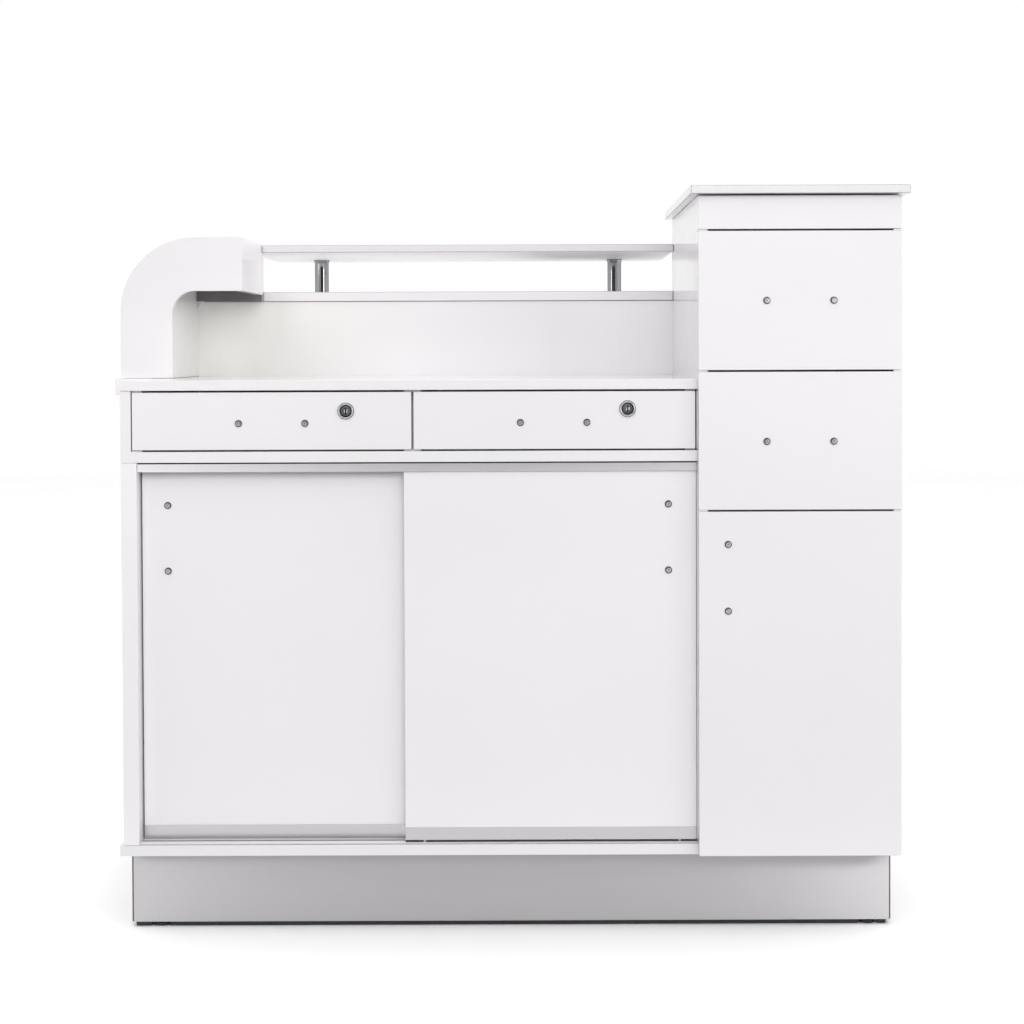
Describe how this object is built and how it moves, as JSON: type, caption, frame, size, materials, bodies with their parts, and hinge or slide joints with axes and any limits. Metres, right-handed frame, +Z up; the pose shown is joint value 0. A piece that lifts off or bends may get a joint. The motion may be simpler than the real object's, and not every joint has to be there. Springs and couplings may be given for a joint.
{
  "type": "reception desk",
  "caption": "White gloss reception desk with raised client counter on posts, hollow arched end, lockable flat drawers, sliding cupboard doors and a tall drawer tower.",
  "frame": {"origin": "middle of the footprint's bounding box, at floor level", "axes": "+X to the right seen from the staff side, +Y from the staff side to the client side, +Z up"},
  "size_m": [1.194, 0.713, 1.084],
  "materials": {
    "white_laminate": "high-gloss white laminate on board",
    "drawer_board": "matt pale grey melamine board",
    "steel_laminate": "brushed steel laminate on a board core",
    "aluminium_profile": "satin anodised",
    "chrome_trim": "polished",
    "hinge_steel": "nickel plated",
    "foot_plastic": "black glide",
    "arch_dark": "dark grey panel"
  },
  "bodies": {
    "carcass": {"plinth": "steel_laminate", "foot_front_left": "foot_plastic", "foot_front_right": "foot_plastic", "foot_rear_left": "foot_plastic", "foot_rear_right": "foot_plastic", "base_panel": "white_laminate", "left_side_panel": "white_laminate", "drawer_case_side_left": "white_laminate", "drawer_case_side_right": "white_laminate", "drawer_deck": "white_laminate", "drawer_divider": "white_laminate", "worktop": "white_laminate", "back_panel": "white_laminate", "client_front_panel": "white_laminate", "counter_shelf": "white_laminate", "transaction_counter": "white_laminate", "counter_post_left": "chrome_trim", "counter_post_right": "chrome_trim", "arch_shell": "white_laminate", "arch_liner": "arch_dark", "arch_ledge": "white_laminate", "tower_side_left": "white_laminate", "tower_side_right": "white_laminate", "tower_back": "white_laminate", "tower_top": "white_laminate", "tower_fascia": "white_laminate", "tower_runner_frame": "aluminium_profile", "tower_hinge_upper": "hinge_steel", "tower_hinge_lower": "hinge_steel", "door_track_top": "aluminium_profile", "door_track_bottom": "aluminium_profile"},
    "desk_drawer_left": {"desk_drawer_left_front": "white_laminate", "desk_drawer_left_box": "drawer_board", "desk_drawer_left_screw_1": "chrome_trim", "desk_drawer_left_screw_2": "chrome_trim"},
    "desk_lock_left": {"desk_drawer_left_lock": "chrome_trim"},
    "desk_drawer_right": {"desk_drawer_right_front": "white_laminate", "desk_drawer_right_box": "drawer_board", "desk_drawer_right_screw_1": "chrome_trim", "desk_drawer_right_screw_2": "chrome_trim"},
    "desk_lock_right": {"desk_drawer_right_lock": "chrome_trim"},
    "tower_drawer_upper": {"tower_drawer_upper_front": "white_laminate", "tower_drawer_upper_box": "drawer_board", "tower_drawer_upper_screw_1": "chrome_trim", "tower_drawer_upper_screw_2": "chrome_trim"},
    "tower_drawer_lower": {"tower_drawer_lower_front": "white_laminate", "tower_drawer_lower_box": "drawer_board", "tower_drawer_lower_screw_1": "chrome_trim", "tower_drawer_lower_screw_2": "chrome_trim"},
    "tower_door": {"tower_door": "white_laminate", "tower_door_screw_1": "chrome_trim", "tower_door_screw_2": "chrome_trim"},
    "sliding_door_left": {"sliding_door_left": "white_laminate", "sliding_door_left_strip": "aluminium_profile", "sliding_door_left_screw_1": "chrome_trim", "sliding_door_left_screw_2": "chrome_trim"},
    "sliding_door_right": {"sliding_door_right": "white_laminate", "sliding_door_right_strip": "aluminium_profile", "sliding_door_right_screw_1": "chrome_trim", "sliding_door_right_screw_2": "chrome_trim"}
  },
  "joints": [
    {"name": "desk_drawer_left_slide", "type": "slide", "parent": "carcass", "child": "desk_drawer_left", "axis": [0, -1, 0], "range_m": [0, 0.26]},
    {"name": "desk_drawer_right_slide", "type": "slide", "parent": "carcass", "child": "desk_drawer_right", "axis": [0, -1, 0], "range_m": [0, 0.26]},
    {"name": "desk_lock_left_turn", "type": "hinge", "parent": "desk_drawer_left", "child": "desk_lock_left", "pos_m": [-0.2129, -0.3265, 0.763], "axis": [0, -1, 0], "range_deg": [0, 90]},
    {"name": "desk_lock_right_turn", "type": "hinge", "parent": "desk_drawer_right", "child": "desk_lock_right", "pos_m": [0.1945, -0.3265, 0.765], "axis": [0, -1, 0], "range_deg": [0, 90]},
    {"name": "tower_drawer_upper_slide", "type": "slide", "parent": "carcass", "child": "tower_drawer_upper", "axis": [0, -1, 0], "range_m": [0, 0.28]},
    {"name": "tower_drawer_lower_slide", "type": "slide", "parent": "carcass", "child": "tower_drawer_lower", "axis": [0, -1, 0], "range_m": [0, 0.28]},
    {"name": "tower_door_hinge", "type": "hinge", "parent": "carcass", "child": "tower_door", "pos_m": [0.5868, -0.327, 0.3685], "axis": [0, 0, 1], "range_deg": [0, 105]},
    {"name": "sliding_door_left_slide", "type": "slide", "parent": "carcass", "child": "sliding_door_left", "axis": [1, 0, 0], "range_m": [0, 0.35]},
    {"name": "sliding_door_right_slide", "type": "slide", "parent": "carcass", "child": "sliding_door_right", "axis": [-1, 0, 0], "range_m": [0, 0.35]}
  ]
}
